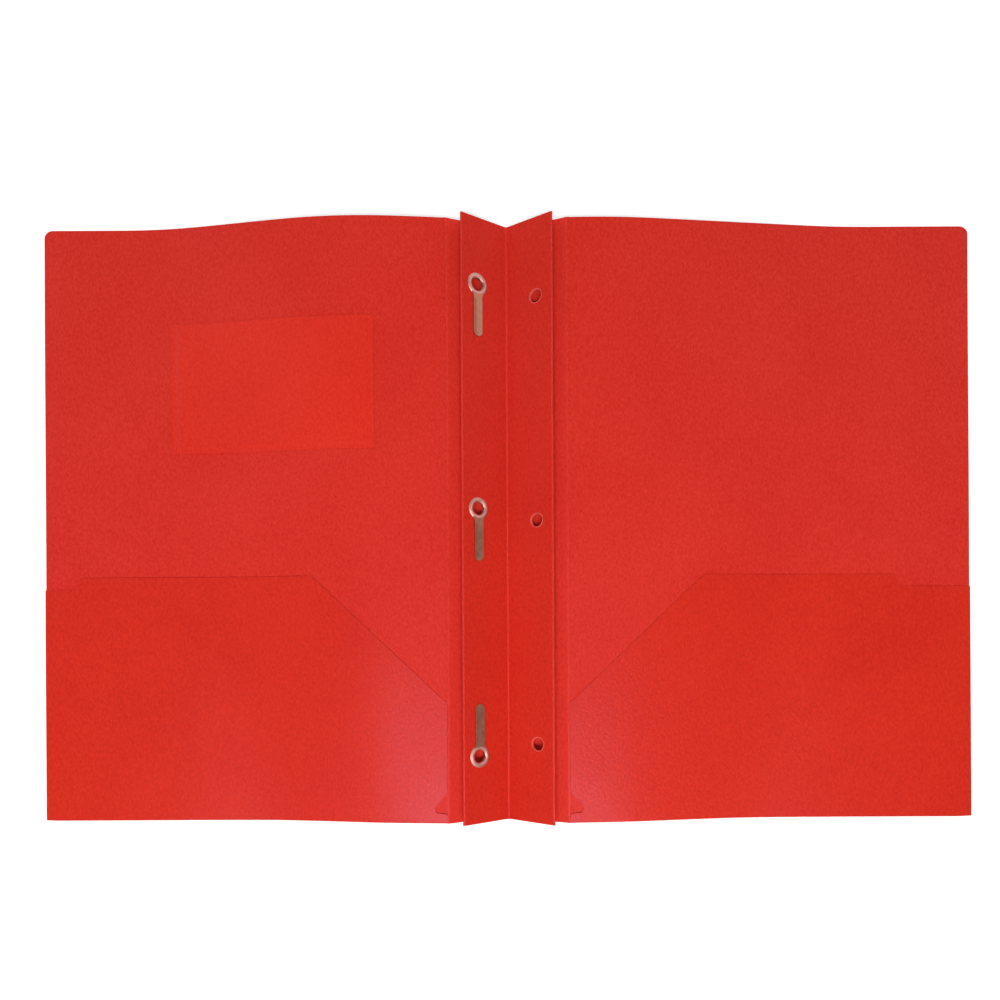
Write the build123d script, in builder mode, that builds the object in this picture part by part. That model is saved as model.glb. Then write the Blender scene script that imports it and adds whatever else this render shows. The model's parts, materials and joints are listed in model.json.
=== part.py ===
from build123d import *
import os
from math import cos, degrees, radians, sin

# Two pocket folder with three binding tangs, made of one folded polypropylene sheet.
# It lies open, inside up. Sizes are millimetres and angles are degrees.
# X runs across the open spread, Y up the page and Z up from the table.
# The origin is on the table, under the middle of the spine.

# Sheet
folder_height = 292.1
cover_reach = 228.6
sheet = 0.5
top_corner_radius = 4.0

# Binding leaves: two plies each, turned over at a crest and joined at the valley of the spine
leaf_width = 25.4
leaf_angle = 33.5
valley_radius = 0.6
ply_gap = 0.3
base_offset = 1.0
base_radius = 0.4
fold_clearance = 0.12

# Hinge strips, from the base of each leaf to the score crease of its cover
strip_width = 28.5
strip_angle = 20.5
crease_clearance = 0.12

# Bow of the covers: each edge of a cover leaves its score crease, passes over a crown and meets
# the table at a foot. The crown and the foot are where the straight runs would meet. The underside
# is skimmed flat where it lies on the table.
bow_radius = 240.0
left_top_crown_x = 80.0
left_top_crown_z = 14.2
left_top_foot_x = 170.0
right_top_crown_x = 52.0
right_top_crown_z = 10.4
right_top_foot_x = 165.0
bottom_crown_x = 60.0
bottom_crown_z = 7.6
bottom_foot_x = 115.0
table_skim = 0.02

# Pockets, with heights from the folder's bottom edge
pocket_gap = 0.7
pocket_height = 120.0
pocket_edge_clearance = 0.6
pocket_shoulder_x = 95.7
pocket_throat_height = 58.0
left_tab_width = 14.0
right_tab_width = 34.0
tab_drop = 6.0
tab_run = 4.0
weld_width = 3.0
bond_line = 0.02

# Relief notch at the inner lower corner of each pocket
notch_top = 15.0
notch_tip_top = 7.4
notch_tip_bottom = 5.2
notch_bottom = 4.5
notch_depth = 6.4
notch_round = 0.9

# Card pocket on the left cover
card_pocket_width = 101.6
card_pocket_height = 63.6
card_pocket_inner_x = 64.0
card_pocket_base = 181.0
card_gap = 0.4
card_film = 0.2
card_seam = 2.0

# Holes of the right leaf and fasteners of the left leaf
hole_pitch = 107.95
hole_inset = 16.3
hole_radius = 3.175
rim_width = 0.9
rim_height = 0.3
ring_radius = 5.4
ring_thickness = 0.4
eyelet_bore_radius = 3.1
eyelet_wall = 0.3
eyelet_clearance = 0.05
back_flange_radius = 4.5
back_flange_thickness = 0.3
tang_length = 19.5
tang_width = 4.9
tang_thickness = 0.4
tang_clearance = 0.1

LEFT = -1
RIGHT = 1
HANDS = {LEFT: "left", RIGHT: "right"}
half_height = folder_height / 2
leaf_thickness = 2 * sheet + ply_gap
base_depth = valley_radius + leaf_thickness + base_radius
crest_axis = leaf_width - sheet - ply_gap / 2
tang_root_offset = ring_radius + tang_clearance + tang_thickness / 2
tang_lift = tang_clearance + tang_thickness / 2
pocket_lift = sheet + pocket_gap
stack = pocket_lift + sheet

# Each tang points along Y, down from the upper and the middle ring and up from the lower one.
fasteners = (
    ("upper", hole_pitch, -1),
    ("middle", 0.0, -1),
    ("lower", -hole_pitch, 1),
)


def panel_plane(side, origin, angle):
    """Plane across a panel: its x runs outwards along the panel, its y towards the inner face."""
    turn = radians(angle)
    return Plane(origin=origin, x_dir=(side * cos(turn), 0, sin(turn)), z_dir=(0, -side, 0))


def leaf_section(side):
    """Cross-section plane of a leaf, with its origin on the valley axis."""
    lean = radians(leaf_angle)
    valley_z = base_radius + sheet + base_depth * cos(lean) - base_offset * sin(lean)
    return panel_plane(side, (0, 0, valley_z), leaf_angle)


def strip_section(side):
    """Cross-section plane of a hinge strip, with its origin on the base fold's axis."""
    base = leaf_section(side).from_local_coords(Vector(base_offset, -base_depth, 0))
    return panel_plane(side, base, strip_angle)


def leaf_face(side, y, lift=0.0):
    """Plane on the inner face of a leaf, at the line of holes, with its x up the page."""
    section = leaf_section(side)
    foot = section.from_local_coords(Vector(hole_inset, lift - valley_radius, 0))
    return Plane(origin=foot + Vector(0, y, 0), x_dir=(0, 1, 0), z_dir=section.y_dir)


def bent_sheet(center, inner_radius, start, sweep):
    """Add the cross-section of a bend of the sheet to the current sketch."""
    with BuildLine() as bend:
        inside = CenterArc(center, inner_radius, start, sweep)
        outside = CenterArc(center, inner_radius + sheet, start, sweep)
        Line(inside @ 0, outside @ 0)
        Line(inside @ 1, outside @ 1)
    make_face(bend.edges())


def bowed_layer(side, low, high):
    """Layer over a whole cover, from low to high above the cover's bowed underside."""
    top_bow = {
        LEFT: ((left_top_crown_x, left_top_crown_z), (left_top_foot_x, 0)),
        RIGHT: ((right_top_crown_x, right_top_crown_z), (right_top_foot_x, 0)),
    }
    bottom_bow = ((bottom_crown_x, bottom_crown_z), (bottom_foot_x, 0))
    with BuildPart() as layer:
        for y, bow in ((-half_height, bottom_bow), (half_height, top_bow[side])):
            route = ((score.X, score.Z - sheet / 2), *bow, (cover_reach, 0))
            with BuildSketch(Plane.XZ.offset(-y)):
                with BuildLine():
                    under = FilletPolyline(*[(side * x, z + low) for x, z in route], radius=bow_radius)
                    over = FilletPolyline(*[(side * x, z + high) for x, z in route], radius=bow_radius)
                    Line(under @ 0, over @ 0)
                    Line(under @ 1, over @ 1)
                make_face()
        loft(ruled=True)
    return layer.part


def plan_outline(side, points):
    """Add a plan outline to the current sketch, with distances from the spine and the bottom edge."""
    with BuildLine() as outline:
        Polyline(*[(side * x, y - half_height) for x, y in points], close=True)
    make_face(outline.edges())


def box_points(x_low, x_high, y_low, y_high):
    """Corners of a rectangle, for plan_outline."""
    return ((x_low, y_low), (x_high, y_low), (x_high, y_high), (x_low, y_high))


score_local = Vector(strip_width, -base_radius - sheet / 2, 0)
score = strip_section(RIGHT).from_local_coords(score_local)
pocket_inner = score.X + pocket_edge_clearance
well_above = 2 * (leaf_width + strip_width)
valley_gap_angle = degrees(fold_clearance / valley_radius)
base_gap_angle = degrees(fold_clearance / base_radius)

os.makedirs("parts", exist_ok=True)

# Covers, each with a round bead on its score crease
for side, hand in HANDS.items():
    with BuildPart() as cover:
        add(bowed_layer(side, -table_skim, sheet))
        with BuildSketch() as outline:
            plan_outline(side, box_points(score.X, cover_reach, sheet, folder_height))
            top_corners = outline.vertices().group_by(Axis.Y)[-1]
            fillet(top_corners.sort_by(Axis.X)[0 if side == LEFT else -1], top_corner_radius)
        extrude(amount=well_above, mode=Mode.INTERSECT)
        with BuildSketch(Plane.XZ.offset(half_height - sheet)):
            with BuildLine():
                bead = CenterArc((side * score.X, score.Z), sheet / 2, 90, side * 180)
                Line(bead @ 0, bead @ 1)
            make_face()
        extrude(amount=sheet - folder_height)
    cover.part.label = hand + "_cover"
    export_step(cover.part, "parts/" + hand + "_cover.step")

# Pockets: flaps of the sheet folded up from the bottom edge
tab_widths = {LEFT: left_tab_width, RIGHT: right_tab_width}
tab_height = pocket_height - tab_drop
for side, hand in HANDS.items():
    with BuildPart() as pocket:
        add(bowed_layer(side, pocket_lift, stack))
        with BuildSketch():
            plan_outline(
                side,
                (
                    (cover_reach, sheet),
                    (cover_reach, tab_height),
                    (cover_reach - tab_widths[side], tab_height),
                    (cover_reach - tab_widths[side] - tab_run, pocket_height),
                    (pocket_shoulder_x, pocket_height),
                    (pocket_inner, pocket_throat_height),
                    (pocket_inner, notch_top),
                    (pocket_inner + notch_depth, notch_tip_top),
                    (pocket_inner + notch_depth - notch_round, notch_tip_bottom),
                    (pocket_inner, notch_bottom),
                    (pocket_inner, sheet),
                ),
            )
        extrude(amount=well_above, mode=Mode.INTERSECT)
    pocket.part.label = hand + "_pocket"
    export_step(pocket.part, "parts/" + hand + "_pocket.step")

    with BuildPart() as pocket_fold:
        add(bowed_layer(side, -table_skim, stack))
        with BuildSketch():
            plan_outline(side, box_points(pocket_inner, cover_reach, 0, sheet))
        extrude(amount=well_above, mode=Mode.INTERSECT)
    pocket_fold.part.label = hand + "_pocket_fold"
    export_step(pocket_fold.part, "parts/" + hand + "_pocket_fold.step")

    with BuildPart() as pocket_weld:
        add(bowed_layer(side, sheet + bond_line, pocket_lift - bond_line))
        with BuildSketch():
            plan_outline(side, box_points(cover_reach - weld_width, cover_reach, sheet, tab_height))
        extrude(amount=well_above, mode=Mode.INTERSECT)
    pocket_weld.part.label = hand + "_pocket_weld"
    export_step(pocket_weld.part, "parts/" + hand + "_pocket_weld.step")

# Card pocket: a film seamed to the left cover on three sides, open at the top
card_outer_x = card_pocket_inner_x + card_pocket_width
card_top = card_pocket_base + card_pocket_height
with BuildPart() as card_slot:
    add(bowed_layer(LEFT, 0, sheet + card_gap))
    with BuildSketch():
        plan_outline(
            LEFT,
            box_points(
                card_pocket_inner_x + card_seam,
                card_outer_x - card_seam,
                card_pocket_base + card_seam,
                card_top + card_seam,
            ),
        )
    extrude(amount=well_above, mode=Mode.INTERSECT)
with BuildPart() as card_pocket:
    add(bowed_layer(LEFT, sheet + bond_line, sheet + card_gap + card_film))
    with BuildSketch():
        plan_outline(LEFT, box_points(card_pocket_inner_x, card_outer_x, card_pocket_base, card_top))
    extrude(amount=well_above, mode=Mode.INTERSECT)
    add(card_slot.part, mode=Mode.SUBTRACT)
card_pocket.part.label = "card_pocket"
export_step(card_pocket.part, "parts/card_pocket.step")

# Hinge strips and the base folds that turn them up into the leaves
for side, hand in HANDS.items():
    with BuildPart() as hinge_strip:
        with BuildSketch(strip_section(side)):
            with Locations((0, -base_radius)):
                strip_run = strip_width - sheet / 2 - crease_clearance
                Rectangle(strip_run, sheet, align=(Align.MIN, Align.MAX))
        extrude(amount=half_height, both=True)
    hinge_strip.part.label = hand + "_hinge_strip"
    export_step(hinge_strip.part, "parts/" + hand + "_hinge_strip.step")

    with BuildPart() as base_fold:
        with BuildSketch(strip_section(side)):
            fold_turn = 180 - (leaf_angle - strip_angle) - base_gap_angle
            bent_sheet((0, 0), base_radius, 270, -fold_turn)
        extrude(amount=half_height, both=True)
    base_fold.part.label = hand + "_base_fold"
    export_step(base_fold.part, "parts/" + hand + "_base_fold.step")

# Binding leaves: an inner and an outer ply joined by the crest fold.
# The right leaf has punched holes with pressed rims, the left one holes for the eyelets.
barrel_radius = eyelet_bore_radius + eyelet_wall
leaf_holes = {
    LEFT: (barrel_radius + eyelet_clearance, [y - point * tang_root_offset for _, y, point in fasteners]),
    RIGHT: (hole_radius, [y for _, y, _ in fasteners]),
}
for side, hand in HANDS.items():
    radius, rows = leaf_holes[side]
    faces = [leaf_face(side, y) for y in rows]

    with BuildPart() as leaf_inner:
        with BuildSketch(leaf_section(side)):
            with Locations((0, -valley_radius)):
                Rectangle(crest_axis, sheet, align=(Align.MIN, Align.MAX))
        extrude(amount=half_height, both=True)
        if side == RIGHT:
            with BuildSketch(*faces):
                Circle(hole_radius + rim_width)
            extrude(amount=rim_height)
        with BuildSketch(*faces):
            Circle(radius)
        extrude(amount=leaf_thickness, both=True, mode=Mode.SUBTRACT)
    leaf_inner.part.label = hand + "_leaf_inner"
    export_step(leaf_inner.part, "parts/" + hand + "_leaf_inner.step")

    with BuildPart() as leaf_outer:
        with BuildSketch(leaf_section(side)):
            with Locations((base_offset, -valley_radius - sheet - ply_gap)):
                Rectangle(crest_axis - base_offset, sheet, align=(Align.MIN, Align.MAX))
        extrude(amount=half_height, both=True)
        with BuildSketch(*faces):
            Circle(radius)
        extrude(amount=-2 * leaf_thickness, mode=Mode.SUBTRACT)
    leaf_outer.part.label = hand + "_leaf_outer"
    export_step(leaf_outer.part, "parts/" + hand + "_leaf_outer.step")

    with BuildPart() as crest_fold:
        with BuildSketch(leaf_section(side)):
            bent_sheet((crest_axis, -valley_radius - leaf_thickness / 2), ply_gap / 2, -90, 180)
        extrude(amount=half_height, both=True)
    crest_fold.part.label = hand + "_crest_fold"
    export_step(crest_fold.part, "parts/" + hand + "_crest_fold.step")

# Valley fold of the spine, joined to the right leaf
with BuildPart() as valley_fold:
    with BuildSketch(leaf_section(RIGHT)):
        bent_sheet((0, 0), valley_radius, 270, valley_gap_angle - 2 * leaf_angle)
    extrude(amount=half_height, both=True)
valley_fold.part.label = "valley_fold"
export_step(valley_fold.part, "parts/valley_fold.step")

# Fasteners: an eyelet clamps the two plies of the left leaf, and its tang bends up at a round root
for (name, _, point), root_y, ring_y in zip(fasteners, leaf_holes[RIGHT][1], leaf_holes[LEFT][1]):
    ring_face = leaf_face(LEFT, ring_y)
    with BuildPart() as eyelet:
        with BuildSketch(ring_face):
            Circle(ring_radius)
        extrude(amount=ring_thickness)
        with BuildSketch(ring_face):
            Circle(barrel_radius)
        extrude(amount=-leaf_thickness)
        with BuildSketch(ring_face.offset(-leaf_thickness)):
            Circle(back_flange_radius)
        extrude(amount=-back_flange_thickness)
        with Locations(ring_face):
            Hole(eyelet_bore_radius)
    eyelet.part.label = name + "_eyelet"
    export_step(eyelet.part, "parts/" + name + "_eyelet.step")

    blade = leaf_face(LEFT, root_y, tang_lift)
    tip = tang_length - tang_width / 2
    with BuildPart() as tang:
        with BuildSketch(blade):
            with BuildLine():
                edge = Polyline(
                    (point * tip, -tang_width / 2),
                    (0, -tang_width / 2),
                    (0, tang_width / 2),
                    (point * tip, tang_width / 2),
                )
                ThreePointArc(edge @ 1, (point * tang_length, 0), edge @ 0)
            make_face()
        extrude(amount=tang_thickness / 2, both=True)
        with BuildSketch(Plane(origin=blade.origin, x_dir=blade.x_dir, z_dir=blade.y_dir)):
            Circle(tang_thickness / 2)
        extrude(amount=tang_width / 2, both=True)
    tang.part.label = name + "_tang"
    export_step(tang.part, "parts/" + name + "_tang.step")
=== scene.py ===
import json
from math import asin, atan2, cos, hypot, pi, radians, sin

import bmesh
import bpy
import numpy as np
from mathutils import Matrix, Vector
from mathutils.bvhtree import BVHTree
from mathutils.geometry import delaunay_2d_cdt


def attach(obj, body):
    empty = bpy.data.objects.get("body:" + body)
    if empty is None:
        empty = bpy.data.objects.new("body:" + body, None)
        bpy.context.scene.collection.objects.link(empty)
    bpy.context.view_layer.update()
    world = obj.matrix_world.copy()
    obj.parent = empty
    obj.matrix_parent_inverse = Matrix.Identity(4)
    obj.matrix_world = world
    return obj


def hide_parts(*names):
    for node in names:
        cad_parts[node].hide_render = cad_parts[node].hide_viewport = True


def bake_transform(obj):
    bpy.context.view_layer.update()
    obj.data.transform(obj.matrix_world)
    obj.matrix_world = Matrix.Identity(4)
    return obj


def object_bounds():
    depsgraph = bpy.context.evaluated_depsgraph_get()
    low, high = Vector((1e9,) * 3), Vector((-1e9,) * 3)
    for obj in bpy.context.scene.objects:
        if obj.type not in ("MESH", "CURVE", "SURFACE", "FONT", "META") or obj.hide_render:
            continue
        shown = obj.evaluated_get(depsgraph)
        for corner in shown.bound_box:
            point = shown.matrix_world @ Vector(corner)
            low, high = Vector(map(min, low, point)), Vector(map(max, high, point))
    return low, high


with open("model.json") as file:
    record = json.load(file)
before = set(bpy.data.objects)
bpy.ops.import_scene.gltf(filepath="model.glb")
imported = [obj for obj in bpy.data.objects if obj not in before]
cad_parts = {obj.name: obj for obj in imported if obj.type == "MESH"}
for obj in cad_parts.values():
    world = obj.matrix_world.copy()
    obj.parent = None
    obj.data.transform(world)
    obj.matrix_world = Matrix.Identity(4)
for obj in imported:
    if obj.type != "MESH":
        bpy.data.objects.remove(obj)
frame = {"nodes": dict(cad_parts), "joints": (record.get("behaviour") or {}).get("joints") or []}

# Open two pocket folder, folded from one die-cut polypropylene sheet, with steel binding tangs.
# Sizes are millimetres in the frame of the CAD model, and meshes are written in metres.
# X runs across the open spread, Y up the page and Z up from the table.

cad_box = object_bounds()
MM = 0.001
LEFT, RIGHT = -1, 1
HANDS = {LEFT: "left", RIGHT: "right"}
scene = bpy.context.scene
joints = {joint["name"]: joint for joint in frame["joints"]}


def place_of(joint):
    """Place of a joint, in millimetres."""
    return Vector(joints[joint]["pos_m"]) / MM


# Places that the frame gives
HALF = cad_box[1].y / MM
REACH = cad_box[1].x / MM
SCORE = place_of("right_cover_fold")
BASE = place_of("right_leaf_fold")
VALLEY = place_of("spine_fold")
tang_axis = joints["upper_tang_bend"]["axis"]
LEAF_ANGLE = atan2(-tang_axis[2], tang_axis[0])

# Sheet and its cut edges
SHEET = 0.5
EDGE_ROUND = 0.2
EDGE_SHARE = 0.4
EDGE_ANGLE = 50
SHARP_ANGLE = 18
POINT_GAP = 0.15
MERGE_GAP = 0.0008

# Folds of the spine
VALLEY_RADIUS = 0.6
PLY_GAP = 0.3
BASE_RADIUS = 0.4
BASE_OFFSET = 1.0
LEAF_WIDTH = 25.4
TUCK = 0.8
TUCK_SHEET = 0.46

# Score creases: a thin web with a shoulder on each side, tucked into the sheets
CREASE_HALF = 0.3
SCORE_BAND = 1.2
SCORE_SHOULDER = 0.55
SCORE_FLANK = 0.28
SCORE_FLANK_SHEET = 0.36
SCORE_WEB = 0.28

# Covers: where their bow is read, how it is smoothed, in samples, and the sheet's slight ripple
TOP_CORNER = 4.0
BOW_START = 0.5
BOW_END = 1.0
BOW_RAY = 100.0
SMOOTH_REACH = 9
SMOOTH_SPREAD = 3.5
RIPPLE = 0.12
RIPPLE_X = (23.0, 83.0)
RIPPLE_Y = (41.0, 57.0)
RIPPLE_RUN = 30.0

# Pockets, with heights from the folder's bottom edge
POCKET_GAP = 0.4
POCKET_LIP_GAP = 0.06
POCKET_SETTLE = 45.0
POCKET_INNER_RUN = 30.0
POCKET_INNER_SHARE = 0.5
POCKET_BULGE = 0.12
WELD_GAP = 0.06
WELD_WIDTH = 0.6
WELD_FADE = 6.0
POCKET_HEIGHT = 120.0
POCKET_INSET = 0.6
POCKET_INNER = SCORE.x + POCKET_INSET
POCKET_SHOULDER = 95.7
POCKET_THROAT = 58.0
TAB_WIDTH = {LEFT: 14.0, RIGHT: 34.0}
TAB_DROP = 6.0
TAB_RUN = 4.0
NOTCH_TOP = 15.0
NOTCH_TIP_TOP = 7.4
NOTCH_TIP_BOTTOM = 5.2
NOTCH_BOTTOM = 4.5
NOTCH_DEPTH = 6.4
NOTCH_ROUND = 0.9
FOLD_RUN = 2.0

# Card pocket
CARD_INNER = 64.0
CARD_WIDTH = 101.6
CARD_BASE = 181.0
CARD_HEIGHT = 63.6
CARD_CORNER = 1.5
CARD_FILM = 0.2
CARD_BOND = 0.04
CARD_GAP = 0.45
CARD_SLACK = 0.8
CARD_MOUTH_SLACK = 0.5
CARD_SEAM = 1.4
CARD_RISE = 2.6
CARD_MARGIN = 7.0
CARD_LIP = 1.0

# Punched holes and their pressed rims
HOLE_RADIUS = 3.175
RIM_WIDTH = 0.4
RIM_HEIGHT = 0.16
RIM_LIP = 0.1
RIM_SEAT = 0.02
RIM_SINK = 0.05

# Eyelets
RING_RADIUS = 5.4
RING_HEIGHT = 0.55
BORE_RADIUS = 3.1
BARREL_WALL = 0.3
BACK_FLANGE_RADIUS = 4.5
BACK_FLANGE_HEIGHT = 0.3

# Tangs: the neck's half widths go by their distances from the root
TANG_LENGTH = 19.5
TANG_WIDTH = 4.9
TANG_THICKNESS = 0.4
TANG_CLEARANCE = 0.1
TANG_HEAD = 1.7
TANG_HEAD_HALF = 3.2
TANG_NECK = ((-TANG_HEAD, TANG_HEAD_HALF), (-0.9, 2.95), (-0.2, 2.62), (0.9, TANG_WIDTH / 2))
TANG_EDGE = 0.12
TANG_FLAT_HALF = 1.0
TANG_EDGE_RUN = 0.9
TANG_PLAIN = 1.0
TANG_PLAIN_RUN = 1.5
TANG_BLADE_START = 1.5
TANG_BEND_HALF = 0.5

# Floor and camera
FLOOR_RADIUS = 12000.0
FLOOR_DROP = 0.05
SWEEP_START = 400.0
SWEEP_END = 1500.0
FRAME_PX = 1000
PX_PER_MM = 2.016
CAMERA_HEIGHT = 365.0
CAMERA_X = -4.0
CAMERA_Y = -57.7
CAMERA_SHIFT = 0.14
CAMERA_ROLL = -0.3
SENSOR = 36.0

LEAF_THICKNESS = 2 * SHEET + PLY_GAP
CREST_AXIS = LEAF_WIDTH - SHEET - PLY_GAP / 2
FOLD_RADIUS = POCKET_GAP / 2 + SHEET
STRIP_MIDDLE = -BASE_RADIUS - SHEET / 2
score_run = SCORE - BASE
STRIP_ANGLE = atan2(score_run.z, score_run.x) + asin(-STRIP_MIDDLE / hypot(score_run.x, score_run.z))
STRIP_WIDTH = hypot(hypot(score_run.x, score_run.z), STRIP_MIDDLE)
TANG_LIFT = TANG_CLEARANCE + TANG_THICKNESS / 2
RING_OFFSET = RING_RADIUS + TANG_LIFT

# Lines that divide the sheets, about 4 mm apart up the page and 2 mm apart across a cover
LONG_LINES = np.linspace(-HALF, HALF, 74)
COVER_LINES = np.linspace(SCORE.x, REACH, 91)


# Materials

def linear(colour):
    """Linear RGBA of an sRGB hex colour."""
    parts = [int(colour[i:i + 2], 16) / 255 for i in (1, 3, 5)]
    return (*[c / 12.92 if c <= 0.04045 else ((c + 0.055) / 1.055) ** 2.4 for c in parts], 1.0)


def add(tree, kind, inputs=None, **settings):
    """Add a node to a tree, with its settings, and with a value or a link on each input named."""
    made = tree.nodes.new(kind)
    for name, value in settings.items():
        setattr(made, name, value)
    for key, value in (inputs or {}).items():
        if isinstance(value, bpy.types.NodeSocket):
            tree.links.new(value, made.inputs[key])
        else:
            made.inputs[key].default_value = value
    return made


def new_material(name):
    """An empty material and its node tree."""
    material = bpy.data.materials.new(name)
    material.use_nodes = True
    material.node_tree.nodes.clear()
    return material, material.node_tree


def polypropylene(name, shade, tint, roughness, gloss, grain_depth, grain=0.9):
    """Extruded polypropylene sheet with an embossed sand grain.

    The eye sees a deep even red, fine streaks along the extrusion, a matte speckle and a soft sheen
    with a little magenta in it. The real grain is about 0.3 mm and is drawn three to five times as
    coarse, to show at this distance.
    """
    streak = 0.9 * MM
    cloud = 55 * MM
    sand_grain = grain * MM
    material, tree = new_material(name)
    place = add(tree, "ShaderNodeTexCoord").outputs["Object"]
    along = add(tree, "ShaderNodeMapping", {"Vector": place, "Scale": (1, 0.55, 1)}).outputs["Vector"]
    streaks = add(
        tree, "ShaderNodeTexNoise", {"Vector": along, "Scale": 1 / streak, "Detail": 3.0, "Roughness": 0.65}
    ).outputs["Fac"]
    clouds = add(
        tree, "ShaderNodeTexNoise", {"Vector": place, "Scale": 1 / cloud, "Detail": 2.0}
    ).outputs["Fac"]
    sand = add(
        tree,
        "ShaderNodeTexNoise",
        {"Vector": place, "Scale": 1 / sand_grain, "Detail": 3.0, "Roughness": 0.65},
    ).outputs["Fac"]
    mottle = add(
        tree, "ShaderNodeMix", {"Factor": 0.2, "A": streaks, "B": clouds}, data_type="FLOAT"
    ).outputs["Result"]
    ramp = add(tree, "ShaderNodeValToRGB", {"Fac": mottle})
    ramp.color_ramp.elements[0].position = 0.34
    ramp.color_ramp.elements[0].color = linear(shade)
    ramp.color_ramp.elements[1].position = 0.66
    ramp.color_ramp.elements[1].color = linear(tint)
    matte = add(
        tree,
        "ShaderNodeMapRange",
        {
            "Value": sand,
            "From Min": 0.3,
            "From Max": 0.7,
            "To Min": roughness - 0.06,
            "To Max": roughness + 0.06,
        },
    ).outputs["Result"]
    bump = add(
        tree, "ShaderNodeBump", {"Height": sand, "Strength": 0.5, "Distance": grain_depth * MM}
    ).outputs["Normal"]
    surface = add(
        tree,
        "ShaderNodeBsdfPrincipled",
        {
            "Base Color": ramp.outputs["Color"],
            "Roughness": matte,
            "IOR": 1.49,
            "Specular IOR Level": gloss,
            "Specular Tint": linear("#FFDCFF"),
            "Normal": bump,
        },
    ).outputs["BSDF"]
    add(tree, "ShaderNodeOutputMaterial", {"Surface": surface})
    return material


def nickelled_steel(name, shade, tint, roughness):
    """Nickel-plated steel strip, stamped and a little dulled by handling.

    The eye sees grey metal with fine rolling lines along its length and blurred reflections, warmed by a
    painted reflection in its shade and tint.
    """
    line = 0.5 * MM
    smear = 4 * MM
    material, tree = new_material(name)
    place = add(tree, "ShaderNodeTexCoord").outputs["Object"]
    along = add(tree, "ShaderNodeMapping", {"Vector": place, "Scale": (1, 0.06, 1)}).outputs["Vector"]
    lines = add(
        tree, "ShaderNodeTexNoise", {"Vector": along, "Scale": 1 / line, "Detail": 2.0}
    ).outputs["Fac"]
    smears = add(
        tree, "ShaderNodeTexNoise", {"Vector": place, "Scale": 1 / smear, "Detail": 3.0}
    ).outputs["Fac"]
    ramp = add(tree, "ShaderNodeValToRGB", {"Fac": smears})
    ramp.color_ramp.elements[0].position = 0.3
    ramp.color_ramp.elements[0].color = linear(shade)
    ramp.color_ramp.elements[1].position = 0.7
    ramp.color_ramp.elements[1].color = linear(tint)
    dull = add(
        tree,
        "ShaderNodeMapRange",
        {"Value": smears, "From Min": 0.3, "From Max": 0.7, "To Min": roughness, "To Max": roughness + 0.14},
    ).outputs["Result"]
    bump = add(
        tree, "ShaderNodeBump", {"Height": lines, "Strength": 0.25, "Distance": 0.02 * MM}
    ).outputs["Normal"]
    surface = add(
        tree,
        "ShaderNodeBsdfPrincipled",
        {"Base Color": ramp.outputs["Color"], "Metallic": 1.0, "Roughness": dull, "Normal": bump},
    ).outputs["BSDF"]
    add(tree, "ShaderNodeOutputMaterial", {"Surface": surface})
    return material


# The covers' inner face is matte
cover_sheet = polypropylene("sand_grained_polypropylene", "#C82313", "#D83526", 0.5, 0.14, 0.05)
# A flap shows the sheet's other face, which is smoother and catches the lamp in a grainy glare
pocket_sheet = polypropylene("sand_grained_polypropylene_flap", "#C41E08", "#D62D12", 0.37, 0.25, 0.28, 1.5)
# Leaves and strips of the spine have little sheen. The leaves are painted a deeper red than the covers, as
# painted shade, and the strips a lighter red, as painted light that offsets the shade under the leaves.
spine_sheet_painted_shade = polypropylene("sand_grained_polypropylene_spine", "#C22314", "#D52F1E", 0.5, 0.1, 0.04)
strip_sheet_painted_light = polypropylene("sand_grained_polypropylene_strip", "#D12B1F", "#E1382B", 0.5, 0.1, 0.04)
# Folds are stretched smooth, and a little paler: partly stress whitening, partly a painted highlight along
# each fold.
fold_sheet = polypropylene("stretched_polypropylene_fold", "#CF2D21", "#DD3A2E", 0.42, 0.12, 0.02)
# Rims are paler from stress, and their pale colour is also a painted highlight on their sides.
rim_sheet_stress_and_highlight = polypropylene("stress_whitened_polypropylene", "#DA4A40", "#E9665B", 0.36, 0.25, 0.02)
# Flap edges are painted pale: painted light that cancels the shadow along the flap's lip.
edge_painted_light = polypropylene("sheared_polypropylene_edge", "#F4604F", "#FA6E5C", 0.45, 0.2, 0.02)
# The card pocket's film is thinner, and painted a little brighter: a painted sheen of the glossy film.
film = polypropylene("cast_polypropylene_film", "#D1281A", "#DE3624", 0.42, 0.1, 0.03)
# Tangs are rolled strip, and the eyelets' rolled rings are more scuffed. Their colours carry a painted
# reflection of the red sheet: red-brown on the tangs and a paler pink on the rings.
tang_steel = nickelled_steel("nickel_plated_steel_tang", "#855443", "#996855", 0.3)
eyelet_steel = nickelled_steel("nickel_plated_steel_eyelet", "#B47A70", "#D09C91", 0.44)


# Sheet shapes

def within(outline, points, margin):
    """Which points lie inside an outline, also when they move by the margin along x or y."""
    result = np.ones(len(points), bool)
    for shift in ((margin, 0), (-margin, 0), (0, margin), (0, -margin)):
        x, y = (points + shift).T
        odd = np.zeros(len(points), bool)
        for (x0, y0), (x1, y1) in zip(outline, outline[1:] + outline[:1]):
            if y0 != y1:
                odd ^= ((y0 > y) != (y1 > y)) & (x < x0 + (y - y0) * (x1 - x0) / (y1 - y0))
        result &= odd
    return result


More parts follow.
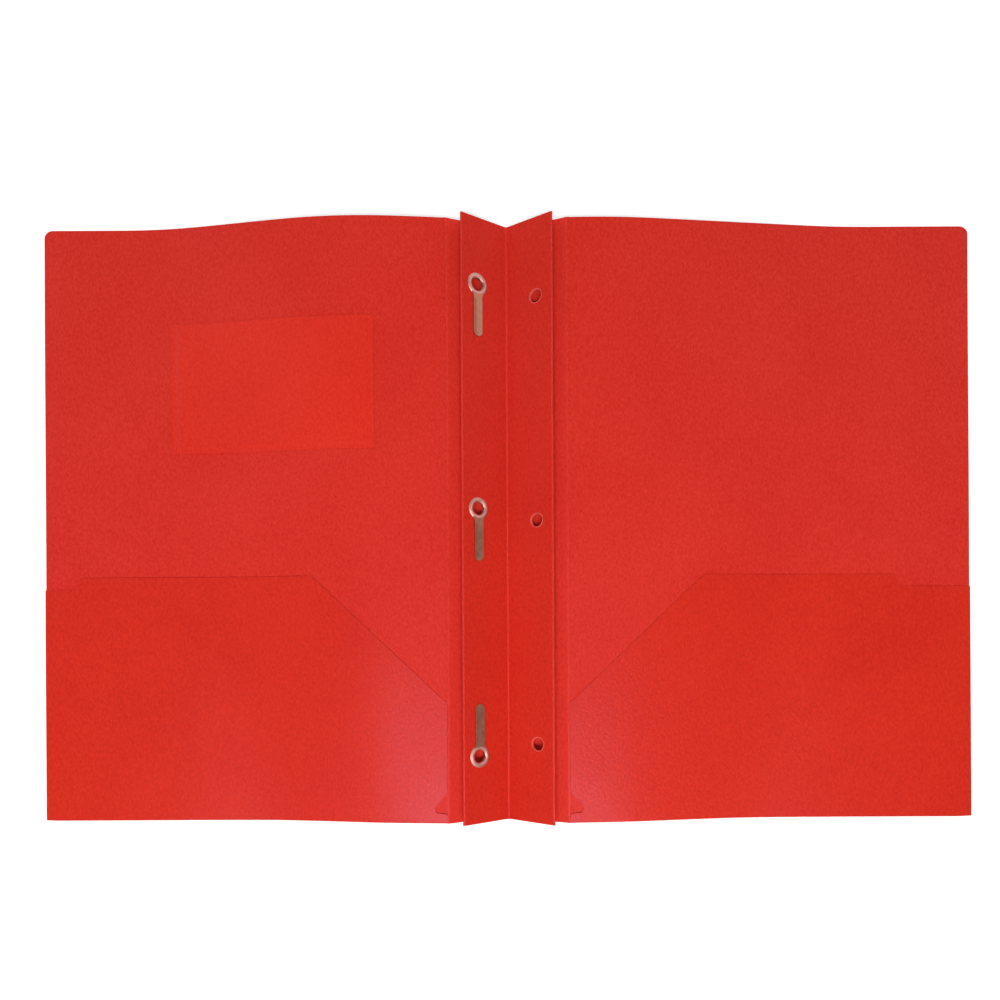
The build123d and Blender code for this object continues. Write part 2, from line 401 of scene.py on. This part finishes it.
def die_cut(outline, x_lines, y_lines):
    """Points and triangles of a flat outline, divided where the lines cross it and each other."""
    edge = []
    for start, end in zip(outline, outline[1:] + outline[:1]):
        run = np.subtract(end, start)
        length = hypot(*run)
        shares = [
            share
            for axis, lines in enumerate((x_lines, y_lines))
            if run[axis]
            for share in (lines - start[axis]) / run[axis]
        ]
        edge.append(np.array(start, float))
        last = 0.0
        for share in sorted(shares):
            if (share - last) * length > POINT_GAP and (1 - share) * length > POINT_GAP:
                edge.append(start + share * run)
                last = share
    grid = np.array(np.meshgrid(x_lines, y_lines)).reshape(2, -1).T
    inside = grid[within(outline, grid, 2 * POINT_GAP)]
    ring = [(i, (i + 1) % len(edge)) for i in range(len(edge))]
    cut = delaunay_2d_cdt([Vector(p) for p in (*edge, *inside)], ring, [], 1, 1e-6)
    return np.array(cut[0]), cut[2]


def rounded(x, y, radius, start, steps=8):
    """Points of a quarter round about a centre, from a start angle on."""
    turns = np.linspace(start, start + pi / 2, steps)
    return [(x + radius * cos(turn), y + radius * sin(turn)) for turn in turns]


def fade(share):
    """Smooth step from 0 to 1."""
    share = np.clip(share, 0, 1)
    return share * share * (3 - 2 * share)


def settled(piece):
    """Turn a piece's modifiers into a plain mesh with outward faces and smooth shading."""
    graph = bpy.context.evaluated_depsgraph_get()
    mesh = bpy.data.meshes.new_from_object(piece.evaluated_get(graph), depsgraph=graph)
    piece.modifiers.clear()
    piece.data = mesh
    form = bmesh.new()
    form.from_mesh(mesh)
    bmesh.ops.remove_doubles(form, verts=form.verts, dist=MERGE_GAP * MM)
    bmesh.ops.recalc_face_normals(form, faces=form.faces)
    form.to_mesh(mesh)
    form.free()
    mesh.name = piece.name
    mesh.shade_smooth()
    mesh.set_sharp_from_angle(angle=radians(SHARP_ANGLE))
    return piece


def new_piece(name, points, faces, material, edges=()):
    """A mesh piece from points in millimetres."""
    mesh = bpy.data.meshes.new(name)
    mesh.from_pydata((np.asarray(points) * MM).tolist(), edges, faces)
    mesh.materials.append(material)
    piece = bpy.data.objects.new(name, mesh)
    scene.collection.objects.link(piece)
    return piece


def solid_sheet(name, points, faces, thickness, material, edge_material=None):
    """A sheet of even thickness about its middle surface, with softened cut edges."""
    piece = new_piece(name, points, faces, material)
    wall = piece.modifiers.new("thickness", "SOLIDIFY")
    wall.thickness = thickness * MM
    wall.offset = 0
    wall.use_even_offset = True
    edge = piece.modifiers.new("cut edge", "BEVEL")
    edge.width = min(EDGE_ROUND, EDGE_SHARE * thickness) * MM
    edge.segments = 2
    edge.limit_method = "ANGLE"
    edge.angle_limit = radians(EDGE_ANGLE)
    if edge_material:
        piece.data.materials.append(edge_material)
        wall.material_offset_rim = 1
        edge.material = 1
    return settled(piece)


def swept(name, sections, material):
    """A piece whose closed section runs along the folder, from rows of section points."""
    rows, count, _ = sections.shape
    faces = [
        (r * count + i, r * count + (i + 1) % count, (r + 1) * count + (i + 1) % count, (r + 1) * count + i)
        for r in range(rows - 1)
        for i in range(count)
    ]
    faces += [tuple(range(count)), tuple(range((rows - 1) * count, rows * count))]
    return settled(new_piece(name, sections.reshape(-1, 3), faces, material))


def across(side, origin, angle, u, w):
    """x and z of a point u outwards along a panel from its origin and w to its inner side."""
    x = origin.x + u * cos(angle) - w * sin(angle)
    return side * x, origin.z + u * sin(angle) + w * cos(angle)


def along_folder(x, z):
    """Rows of one section, repeated along the folder's height."""
    section = np.stack([x, np.zeros_like(x), z], axis=-1)
    rows = np.repeat(section[None], len(LONG_LINES), axis=0)
    rows[:, :, 1] = LONG_LINES[:, None]
    return rows


def bend(side, origin, angle, center, radius, start, end, thickness, tucks=(0, 0), steps=17):
    """Closed section of a bend about a centre, with a straight tuck into the sheet at each end."""
    turns = np.linspace(start, end, steps)
    way = 1 if end > start else -1
    u = np.cos(turns)
    w = np.sin(turns)
    ends_u = [tucks[0] * way * sin(start), *np.zeros(steps), -tucks[1] * way * sin(end)]
    ends_w = [-tucks[0] * way * cos(start), *np.zeros(steps), tucks[1] * way * cos(end)]
    u = np.concatenate([u[:1], u, u[-1:]])
    w = np.concatenate([w[:1], w, w[-1:]])
    loop = []
    for r, order in ((radius + thickness / 2, 1), (radius - thickness / 2, -1)):
        loop.append(np.column_stack([center[0] + r * u + ends_u, center[1] + r * w + ends_w])[::order])
    loop = np.concatenate(loop)
    return across(side, origin, angle, loop[:, 0], loop[:, 1])


def show(piece, slot, body, *nodes):
    """Hang a piece on the body that it rides on and hide the CAD nodes that it stands for. Its slot is not
    used.
    """
    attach(piece, body)
    if nodes:
        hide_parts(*nodes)


def show_bend(piece, slot, bodies, start, end, *nodes):
    """Bake a piece's placing into its mesh and hide the CAD nodes that it stands for. Its slot, bodies, start
    and end are not used.
    """
    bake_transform(piece)
    if nodes:
        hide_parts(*nodes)


# Covers

def read_bow(side):
    """Height of a cover's inner face over the plan, read from the CAD node and smoothed past its facets."""
    graph = bpy.context.evaluated_depsgraph_get()
    cover = BVHTree.FromObject(frame["nodes"][HANDS[side] + "_cover"], graph)
    xs = np.linspace(SCORE.x + BOW_START, REACH - BOW_START, 100)
    ys = np.linspace(BOW_END - HALF, HALF - TOP_CORNER - BOW_END, 24)
    down = Vector((0, 0, -1))
    heights = np.array(
        [[cover.ray_cast(Vector((side * x, y, BOW_RAY)) * MM, down)[0].z / MM for x in xs] for y in ys]
    )
    weights = np.exp(-0.5 * (np.arange(-SMOOTH_REACH, SMOOTH_REACH + 1) / SMOOTH_SPREAD) ** 2)
    padded = np.pad(heights, ((0, 0), (SMOOTH_REACH, SMOOTH_REACH)), mode="reflect", reflect_type="odd")
    smooth = np.array([np.convolve(row, weights / weights.sum(), "valid") for row in padded])

    def bow(x, y):
        column = np.clip((x - xs[0]) / (xs[1] - xs[0]), 0, len(xs) - 1.001)
        row = np.clip((y - ys[0]) / (ys[1] - ys[0]), 0, len(ys) - 1.001)
        i, j = row.astype(int), column.astype(int)
        f, g = row - i, column - j
        low = (1 - g) * smooth[i, j] + g * smooth[i, j + 1]
        high = (1 - g) * smooth[i + 1, j] + g * smooth[i + 1, j + 1]
        waves = np.sin(x / RIPPLE_X[0] + y / RIPPLE_Y[0] + side) * np.sin(y / RIPPLE_Y[1] - x / RIPPLE_X[1])
        ripple = RIPPLE * (1 + waves)
        return (1 - f) * low + f * high + ripple * np.clip((x - SCORE.x) / RIPPLE_RUN, 0, 1)

    return bow


bows = {side: read_bow(side) for side in HANDS}
for side, hand in HANDS.items():
    inner = SCORE.x + CREASE_HALF
    corner = rounded(REACH - TOP_CORNER, HALF - TOP_CORNER, TOP_CORNER, 0)
    outline = [(inner, FOLD_RADIUS - HALF), (REACH, FOLD_RADIUS - HALF), *corner, (inner, HALF)]
    flat, faces = die_cut(outline, COVER_LINES, LONG_LINES)
    x, y = flat.T
    middle = np.column_stack([side * x, y, bows[side](x, y) - SHEET / 2])
    cover = solid_sheet(hand + "_cover_sheet", middle, faces, SHEET, cover_sheet)
    show(cover, "folder_sheet", hand + "_cover_panel", hand + "_cover")

# Pockets: the sheet turns up round the bottom edge and lies back over the cover
for side, hand in HANDS.items():
    tab = REACH - TAB_WIDTH[side]
    heights = [
        (REACH, POCKET_HEIGHT - TAB_DROP),
        (tab, POCKET_HEIGHT - TAB_DROP),
        (tab - TAB_RUN, POCKET_HEIGHT),
        (POCKET_SHOULDER, POCKET_HEIGHT),
        (POCKET_INNER, POCKET_THROAT),
        (POCKET_INNER, NOTCH_TOP),
        (POCKET_INNER + NOTCH_DEPTH, NOTCH_TIP_TOP),
        (POCKET_INNER + NOTCH_DEPTH - NOTCH_ROUND, NOTCH_TIP_BOTTOM),
        (POCKET_INNER, NOTCH_BOTTOM),
    ]
    outline = [(x, y - FOLD_RADIUS) for x, y in heights]
    outline += [(POCKET_INNER, 0), (POCKET_INNER, -FOLD_RUN), (REACH, -FOLD_RUN), (REACH, 0)]
    fold_lines = np.linspace(-FOLD_RUN, 0, 12)
    flap_lines = np.linspace(0, POCKET_HEIGHT, 49)[1:]
    flat, faces = die_cut(outline, COVER_LINES, np.concatenate([fold_lines, flap_lines]))
    x, run = flat.T
    # The flap lies closer to the cover towards its lip, along its inner edge and at its side weld
    at_inner = POCKET_INNER_SHARE * fade((POCKET_INNER + POCKET_INNER_RUN - x) / POCKET_INNER_RUN)
    at_lip = np.maximum(fade(run / POCKET_SETTLE), at_inner)
    free_gap = POCKET_GAP + (POCKET_LIP_GAP - POCKET_GAP) * at_lip
    gap = WELD_GAP + (free_gap - WELD_GAP) * fade((REACH - x - WELD_WIDTH) / WELD_FADE)
    radius = (gap + SHEET) / 2
    turn = pi * np.clip(1 + run / FOLD_RUN, 0, 1)
    y = FOLD_RADIUS - HALF + np.where(run > 0, run, -radius * np.sin(turn))
    width_share = np.clip((x - POCKET_INNER) / (REACH - POCKET_INNER), 0, 1)
    bulge = POCKET_BULGE * (fade(run / POCKET_HEIGHT) * np.sin(pi * width_share))
    z = bows[side](x, y) - SHEET / 2 + radius * (1 - np.cos(turn)) + bulge
    middle = np.column_stack([side * x, y, z])
    # The flap's cut edges take a pale colour, painted light against the shadow of its lip.
    flap = solid_sheet(hand + "_pocket_flap", middle, faces, SHEET, pocket_sheet, edge_painted_light)
    nodes = (hand + "_pocket", hand + "_pocket_fold", hand + "_pocket_weld")
    show(flap, "folder_sheet", hand + "_cover_panel", *nodes)

# Card pocket: a film pressed down on three seams and open along its top edge
card_outer = CARD_INNER + CARD_WIDTH
card_low = CARD_BASE - HALF
card_high = card_low + CARD_HEIGHT
outline = [
    *rounded(CARD_INNER + CARD_CORNER, card_low + CARD_CORNER, CARD_CORNER, pi),
    *rounded(card_outer - CARD_CORNER, card_low + CARD_CORNER, CARD_CORNER, 1.5 * pi),
    (card_outer, card_high),
    (CARD_INNER, card_high),
]
seam_lines = np.linspace(0, CARD_SEAM + CARD_RISE, 8)
wide_lines = np.linspace(CARD_INNER + CARD_MARGIN, card_outer - CARD_MARGIN, 36)
tall_lines = np.linspace(card_low + CARD_MARGIN, card_high - CARD_LIP, 24)
card_x = np.concatenate([CARD_INNER + seam_lines, wide_lines, card_outer - seam_lines])
card_y = np.concatenate([card_low + seam_lines, tall_lines])
flat, faces = die_cut(outline, card_x, card_y)
x, y = flat.T
to_seam = np.minimum(np.minimum(x - CARD_INNER, card_outer - x), y - card_low)
slack = CARD_SLACK + CARD_MOUTH_SLACK * fade((y - card_low) / CARD_HEIGHT)
lift = CARD_BOND + CARD_GAP * fade((to_seam - CARD_SEAM) / CARD_RISE) * slack
middle = np.column_stack([-x, y, bows[LEFT](x, y) + lift + CARD_FILM / 2])
card = solid_sheet("card_pocket_film", middle, faces, CARD_FILM, film)
show(card, "card_film", "left_cover_panel", "card_pocket")

# Hinge strips, score creases and base folds
origin_leaf = Vector((0, 0, VALLEY.z))
strip_end = STRIP_WIDTH - CREASE_HALF
score_steps = np.array(
    [-SCORE_BAND, -SCORE_SHOULDER, -SCORE_FLANK, 0, SCORE_FLANK, SCORE_SHOULDER, SCORE_BAND]
)
flank_sheets = [TUCK_SHEET, TUCK_SHEET, SCORE_FLANK_SHEET]
score_halves = np.array([*flank_sheets, SCORE_WEB, *flank_sheets[::-1]]) / 2
score_out = np.maximum(score_steps, 0)
for side, hand in HANDS.items():
    panel, strip, leaf = hand + "_cover_panel", hand + "_strip", hand + "_leaf"
    outline = [(0, -HALF), (strip_end, -HALF), (strip_end, HALF), (0, HALF)]
    flat, faces = die_cut(outline, np.linspace(0, STRIP_WIDTH, 13), LONG_LINES)
    x, z = across(side, BASE, STRIP_ANGLE, flat[:, 0], STRIP_MIDDLE)
    middle = np.column_stack([x, flat[:, 1], z])
    piece = solid_sheet(hand + "_strip_sheet", middle, faces, SHEET, strip_sheet_painted_light)
    show(piece, "folder_sheet", strip, hand + "_hinge_strip")

    leaf_side = LEAF_ANGLE - STRIP_ANGLE + pi / 2
    x, z = bend(
        side, BASE, STRIP_ANGLE, (0, 0), -STRIP_MIDDLE, 1.5 * pi, leaf_side, TUCK_SHEET, tucks=(TUCK, TUCK)
    )
    piece = swept(hand + "_base_bend", along_folder(x, z), fold_sheet)
    start_x, start_z = across(side, BASE, STRIP_ANGLE, 0, STRIP_MIDDLE)
    end_x, end_z = across(side, BASE, LEAF_ANGLE, 0, -STRIP_MIDDLE)
    at_strip, at_leaf = (start_x, 0, start_z), (end_x, 0, end_z)
    show_bend(piece, "folder_sheet", (strip, leaf), at_strip, at_leaf, hand + "_base_fold")

    sections = []
    for y in LONG_LINES:
        strip_x, strip_z = across(side, BASE, STRIP_ANGLE, STRIP_WIDTH + score_steps, STRIP_MIDDLE)
        bow_z = bows[side](SCORE.x + np.maximum(score_out, BOW_START), np.full_like(score_out, y)) - SHEET / 2
        near_z = SCORE.z + (bow_z - SCORE.z) * score_out / BOW_START
        cover_z = np.where(score_out > BOW_START, bow_z, near_z)
        x = np.where(score_steps < 0, strip_x, side * (SCORE.x + score_out))
        z = np.where(score_steps < 0, strip_z, cover_z)
        rows = [np.column_stack([x, np.full_like(x, y), z + sign * score_halves]) for sign in (1, -1)]
        sections.append(np.concatenate([rows[0], rows[1][::-1]]))
    piece = swept(hand + "_score_crease", np.array(sections), fold_sheet)
    at_strip = (side * (SCORE.x - CREASE_HALF), 0, SCORE.z)
    at_cover = (side * (SCORE.x + CREASE_HALF), 0, SCORE.z)
    show_bend(piece, "folder_sheet", (strip, panel), at_strip, at_cover)


# Geometry Nodes for what comes in threes: punched holes and turned rings

def new_tree(name, sockets):
    """A Geometry Nodes tree that takes a mesh and the named inputs, and its group input."""
    tree = bpy.data.node_groups.new(name, "GeometryNodeTree")
    tree.interface.new_socket("Mesh", in_out="INPUT", socket_type="NodeSocketGeometry")
    for socket, kind in sockets.items():
        tree.interface.new_socket(socket, in_out="INPUT", socket_type="NodeSocket" + kind)
    tree.interface.new_socket("Mesh", in_out="OUTPUT", socket_type="NodeSocketGeometry")
    return tree, add(tree, "NodeGroupInput").outputs


def on_three_places(tree, given, shape):
    """Instances of a shape on the three places of a tree, turned to its facing and made real."""
    index = add(tree, "GeometryNodeInputIndex").outputs["Index"]
    pick = add(tree, "GeometryNodeIndexSwitch", data_type="VECTOR")
    pick.index_switch_items.new()
    tree.links.new(index, pick.inputs["Index"])
    for i, place in enumerate(("Upper place", "Middle place", "Lower place")):
        tree.links.new(given[place], pick.inputs[i + 1])
    points = add(tree, "GeometryNodePoints", {"Count": 3, "Position": pick.outputs[0]}).outputs["Points"]
    placed = add(
        tree,
        "GeometryNodeInstanceOnPoints",
        {"Points": points, "Instance": shape, "Rotation": given["Facing"]},
    ).outputs["Instances"]
    return add(tree, "GeometryNodeRealizeInstances", {"Geometry": placed}).outputs["Geometry"]


def end_tree(tree, given, mesh):
    """Give the tree's mesh its material and end the tree."""
    painted = add(tree, "GeometryNodeSetMaterial", {"Geometry": mesh, "Material": given["Material"]})
    add(tree, "NodeGroupOutput", {"Mesh": painted.outputs["Geometry"]})


def run_tree(piece, tree, **values):
    """Run a tree on a piece with its inputs set, and settle the piece."""
    modifier = piece.modifiers.new(tree.name, "NODES")
    modifier.node_group = tree
    for socket in tree.interface.items_tree:
        key = socket.name.lower().replace(" ", "_")
        if key in values:
            modifier[socket.identifier] = values[key]
    return settled(piece)


PLACES = {"Upper place": "Vector", "Middle place": "Vector", "Lower place": "Vector", "Facing": "Vector"}

punch_inputs = {**PLACES, "Radius": "Float", "Depth": "Float", "Material": "Material"}
punch_tree, given = new_tree("punched_holes", punch_inputs)
punch = add(
    punch_tree,
    "GeometryNodeMeshCylinder",
    {"Vertices": 56, "Radius": given["Radius"], "Depth": given["Depth"]},
).outputs["Mesh"]
punches = on_three_places(punch_tree, given, punch)
holed = add(
    punch_tree,
    "GeometryNodeMeshBoolean",
    {"Mesh 1": given["Mesh"], "Mesh 2": punches},
    operation="DIFFERENCE",
    solver="EXACT",
).outputs["Mesh"]
end_tree(punch_tree, given, holed)

ring_tree, given = new_tree("turned_rings", {**PLACES, "Bore": "Float", "Material": "Material"})
section = add(ring_tree, "GeometryNodeMeshToCurve", {"Mesh": given["Mesh"]}).outputs["Curve"]
circle = add(
    ring_tree, "GeometryNodeCurvePrimitiveCircle", {"Resolution": 64, "Radius": given["Bore"]}
).outputs["Curve"]
ring = add(ring_tree, "GeometryNodeCurveToMesh", {"Curve": circle, "Profile Curve": section}).outputs["Mesh"]
end_tree(ring_tree, given, on_three_places(ring_tree, given, ring))

# Holes of the leaves: under the tangs' roots on the right, under the eyelets on the left.
# A tang points down the page, which is -1, or up it.
tang_names = ("upper", "middle", "lower")
roots = [place_of(name + "_tang_bend") for name in tang_names]
pointing = [-1 if joints[name + "_tang_bend"]["axis"][0] > 0 else 1 for name in tang_names]
HOLE_INSET = -roots[0].x * cos(LEAF_ANGLE) + (roots[0].z - VALLEY.z) * sin(LEAF_ANGLE)
hole_rows = {
    LEFT: [root.y - way * RING_OFFSET for root, way in zip(roots, pointing)],
    RIGHT: [root.y for root in roots],
}
hole_radii = {LEFT: BORE_RADIUS + BARREL_WALL, RIGHT: HOLE_RADIUS}
hole_places = {}
for side, rows in hole_rows.items():
    x, z = across(side, origin_leaf, LEAF_ANGLE, HOLE_INSET, -VALLEY_RADIUS)
    spots = [tuple(Vector((x, y, z)) * MM) for y in rows]
    hole_places[side] = dict(zip(("upper_place", "middle_place", "lower_place"), spots))
    hole_places[side]["facing"] = (0, -side * LEAF_ANGLE, 0)

# Binding leaves: each is two plies joined by a fold at the crest
punch_depth = 4 * LEAF_THICKNESS
for side, hand in HANDS.items():
    leaf = hand + "_leaf"
    punched = {
        **hole_places[side],
        "radius": hole_radii[side] * MM,
        "depth": punch_depth * MM,
        "material": spine_sheet_painted_shade,
    }
    for ply, start, depth in (("inner", 0, SHEET / 2), ("outer", BASE_OFFSET, 1.5 * SHEET + PLY_GAP)):
        outline = [(start, -HALF), (CREST_AXIS, -HALF), (CREST_AXIS, HALF), (start, HALF)]
        flat, faces = die_cut(outline, np.linspace(start, CREST_AXIS, 11), LONG_LINES)
        x, z = across(side, origin_leaf, LEAF_ANGLE, flat[:, 0], -VALLEY_RADIUS - depth)
        middle = np.column_stack([x, flat[:, 1], z])
        name = hand + "_leaf_" + ply
        piece = solid_sheet(name + "_ply", middle, faces, SHEET, spine_sheet_painted_shade)
        run_tree(piece, punch_tree, **punched)
        show(piece, "folder_sheet", leaf, name)
    crest = (CREST_AXIS, -VALLEY_RADIUS - LEAF_THICKNESS / 2)
    x, z = bend(side, origin_leaf, LEAF_ANGLE, crest, (PLY_GAP + SHEET) / 2, -pi / 2, pi / 2, SHEET)
    piece = swept(hand + "_crest_bend", along_folder(x, z), fold_sheet)
    show(piece, "folder_sheet", leaf, hand + "_crest_fold")

# Valley of the spine
valley_middle = VALLEY_RADIUS + SHEET / 2
valley_start = 1.5 * pi
valley_stop = valley_start - 2 * LEAF_ANGLE
x, z = bend(
    RIGHT,
    origin_leaf,
    LEAF_ANGLE,
    (0, 0),
    valley_middle,
    valley_start,
    valley_stop,
    TUCK_SHEET,
    tucks=(TUCK, TUCK),
)
piece = swept("valley_bend", along_folder(x, z), fold_sheet)
valley_end = valley_middle * sin(LEAF_ANGLE)
leaves = ("right_leaf", "left_leaf")
show_bend(piece, "folder_sheet", leaves, (valley_end, 0, 0), (-valley_end, 0, 0), "valley_fold")


# Eyelets, rims and tangs

def domed(inner, outer, base, height, start):
    """Section points of a low dome between two radii, from a start angle on."""
    turns = np.linspace(start, start + pi, 21)
    middle, half = (inner + outer) / 2, (outer - inner) / 2
    return [(middle + half * cos(turn), base + height * sin(turn) * abs(sin(turn))) for turn in turns]


def turned_rings(name, section, bore, side, material):
    """Three rings turned from one section of radii and heights, round the holes of a leaf."""
    flat = [(radius - bore, -height, 0) for radius, height in section]
    loop = [(i, (i + 1) % len(section)) for i in range(len(section))]
    piece = new_piece(name, flat, [], material, loop)
    return run_tree(piece, ring_tree, **hole_places[side], bore=bore * MM, material=material)


# Eyelets: a rolled flange, a barrel through both plies and a clinched flange at the back
barrel_outer = BORE_RADIUS + BARREL_WALL
section = [
    *domed(BORE_RADIUS, RING_RADIUS, 0, RING_HEIGHT, 0),
    *domed(BORE_RADIUS, BACK_FLANGE_RADIUS, -LEAF_THICKNESS, BACK_FLANGE_HEIGHT, pi),
    (barrel_outer, -LEAF_THICKNESS),
    (barrel_outer, 0),
]
piece = turned_rings("eyelet_rings", section, BORE_RADIUS, LEFT, eyelet_steel)
show(piece, "fastener_steel", "left_leaf", "upper_eyelet", "middle_eyelet", "lower_eyelet")

# Rims pressed up round the holes of the right leaf, each with a lip turned into its hole
lip = HOLE_RADIUS - RIM_LIP
section = [
    *domed(HOLE_RADIUS, HOLE_RADIUS + RIM_WIDTH, 0, RIM_HEIGHT, 0),
    (lip, -RIM_LIP),
    (lip, -LEAF_THICKNESS),
    (HOLE_RADIUS + RIM_SEAT, -LEAF_THICKNESS),
    (HOLE_RADIUS + RIM_SEAT, -RIM_SINK),
    (HOLE_RADIUS + RIM_WIDTH, -RIM_SINK),
]
# The rims' pale colour is partly stress whitening and partly a painted highlight.
piece = turned_rings("pressed_rims", section, HOLE_RADIUS, RIGHT, rim_sheet_stress_and_highlight)
show(piece, "folder_sheet", "right_leaf")

# Tangs: blades stamped with raised edges, which bend up at a root beside their eyelets
half = TANG_WIDTH / 2
tip = TANG_LENGTH - half
outline = [(a, -b) for a, b in TANG_NECK]
outline += [(tip + half * cos(turn), half * sin(turn)) for turn in np.linspace(-pi / 2, pi / 2, 17)]
outline += TANG_NECK[::-1]
root_lines = np.linspace(-TANG_HEAD, TANG_PLAIN, 15)
blade_lines = np.concatenate([root_lines, np.linspace(TANG_BLADE_START, TANG_LENGTH, 30)])
width_lines = np.linspace(-TANG_HEAD_HALF, TANG_HEAD_HALF, 27)
for name, root, way in zip(tang_names, roots, pointing):
    flat, faces = die_cut(outline, blade_lines, width_lines)
    a, b = flat.T
    from_middle = np.hypot(np.maximum(a - tip, 0), b)
    raised = fade((from_middle - TANG_FLAT_HALF) / TANG_EDGE_RUN) * fade((a - TANG_PLAIN) / TANG_PLAIN_RUN)
    height = TANG_LIFT - VALLEY_RADIUS + TANG_EDGE * raised
    x, z = across(LEFT, origin_leaf, LEAF_ANGLE, HOLE_INSET + b, height)
    middle = np.column_stack([x, root.y + way * a, z])
    piece = solid_sheet(name + "_tang_blade", middle, faces, TANG_THICKNESS, tang_steel)
    bend_half = Vector((0, TANG_BEND_HALF * way, 0))
    bodies = ("left_leaf", name + "_fastener_tang")
    show_bend(piece, "fastener_steel", bodies, root - bend_half, root + bend_half, name + "_tang")


# Floor, light and camera

def background_rays(tree):
    """Two values of 1 in a tree: for rays from the camera, and for any that show the background."""
    path = add(tree, "ShaderNodeLightPath").outputs
    camera_ray = path["Is Camera Ray"]
    direct = add(tree, "ShaderNodeMath", {0: camera_ray, 1: path["Is Glossy Ray"]}, operation="MAXIMUM")
    shown = add(
        tree, "ShaderNodeMath", {0: direct.outputs[0], 1: path["Is Transmission Ray"]}, operation="MAXIMUM"
    )
    return camera_ray, shown.outputs[0]


# White paper: it takes the shadows, and glows a little more away from the folder, up to plain white
floor_material, tree = new_material("white_paper_sweep")
_, shown = background_rays(tree)
paper = add(tree, "ShaderNodeBsdfDiffuse", {"Color": linear("#E6E6E6")})
place = add(tree, "ShaderNodeTexCoord").outputs["Object"]
distance = add(tree, "ShaderNodeVectorMath", {0: place}, operation="LENGTH").outputs["Value"]
sweep = add(
    tree,
    "ShaderNodeMapRange",
    {
        "Value": distance,
        "From Min": SWEEP_START * MM,
        "From Max": SWEEP_END * MM,
        "To Min": 0.4,
        "To Max": 0.8,
    },
).outputs["Result"]
glow = add(tree, "ShaderNodeMath", {0: shown, 1: sweep}, operation="MULTIPLY")
lit = add(tree, "ShaderNodeEmission", {"Strength": glow.outputs[0]})
both = add(tree, "ShaderNodeAddShader", {0: paper.outputs[0], 1: lit.outputs[0]})
add(tree, "ShaderNodeOutputMaterial", {"Surface": both.outputs[0]})
turns = np.linspace(0, 2 * pi, 96, endpoint=False)
floor_rim = [(FLOOR_RADIUS * cos(turn), FLOOR_RADIUS * sin(turn), -FLOOR_DROP) for turn in turns]
floor = new_piece("floor", floor_rim, [range(len(floor_rim))], floor_material)

# Soft room: white behind the folder, with a dimmer ceiling in reflections
world = bpy.data.worlds.new("soft_room")
world.use_nodes = True
scene.world = world
tree = world.node_tree
tree.nodes.clear()
camera_ray, shown = background_rays(tree)
direction = add(tree, "ShaderNodeTexCoord").outputs["Generated"]
upward = add(tree, "ShaderNodeSeparateXYZ", {"Vector": direction}).outputs["Z"]
ceiling = add(
    tree,
    "ShaderNodeMapRange",
    {"Value": upward, "From Min": 0.5, "From Max": 0.95, "To Min": 1.0, "To Max": 0.22},
).outputs["Result"]
level = add(
    tree, "ShaderNodeMix", {"Factor": shown, "A": 0.29, "B": ceiling}, data_type="FLOAT"
).outputs["Result"]
white = add(tree, "ShaderNodeMath", {0: level, 1: camera_ray}, operation="MAXIMUM").outputs[0]
sky = add(tree, "ShaderNodeBackground", {"Color": (1, 1, 1, 1), "Strength": white})
add(tree, "ShaderNodeOutputWorld", {"Surface": sky.outputs[0]})


def lamp(name, place, aim, width, depth, power):
    """A soft box lamp that points from its place to its aim, in millimetres."""
    light = bpy.data.lights.new(name, "AREA")
    light.shape = "RECTANGLE"
    light.size = width * MM
    light.size_y = depth * MM
    light.energy = power
    holder = bpy.data.objects.new(name, light)
    holder.location = Vector(place) * MM
    holder.rotation_euler = (Vector(aim) - Vector(place)).to_track_quat("-Z", "Y").to_euler()
    scene.collection.objects.link(holder)


lamp("left_softbox", (-1400, 700, 1000), (0, 0, 0), 900, 900, 4.3)
lamp("right_softbox", (1300, 900, 900), (0, 0, 0), 800, 800, 3.8)
lamp("camera_lamp", (-15, -425, 900), (0, -30, 0), 500, 200, 7.35)

camera = bpy.data.objects.new("camera", bpy.data.cameras.new("camera"))
camera.data.sensor_width = SENSOR
camera.data.lens = PX_PER_MM * CAMERA_HEIGHT * SENSOR / FRAME_PX
camera.data.shift_y = CAMERA_SHIFT
camera.location = Vector((CAMERA_X, CAMERA_Y, CAMERA_HEIGHT)) * MM
camera.rotation_euler = (0, 0, radians(CAMERA_ROLL))
scene.collection.objects.link(camera)
scene.camera = camera

scene.view_settings.view_transform = "Standard"
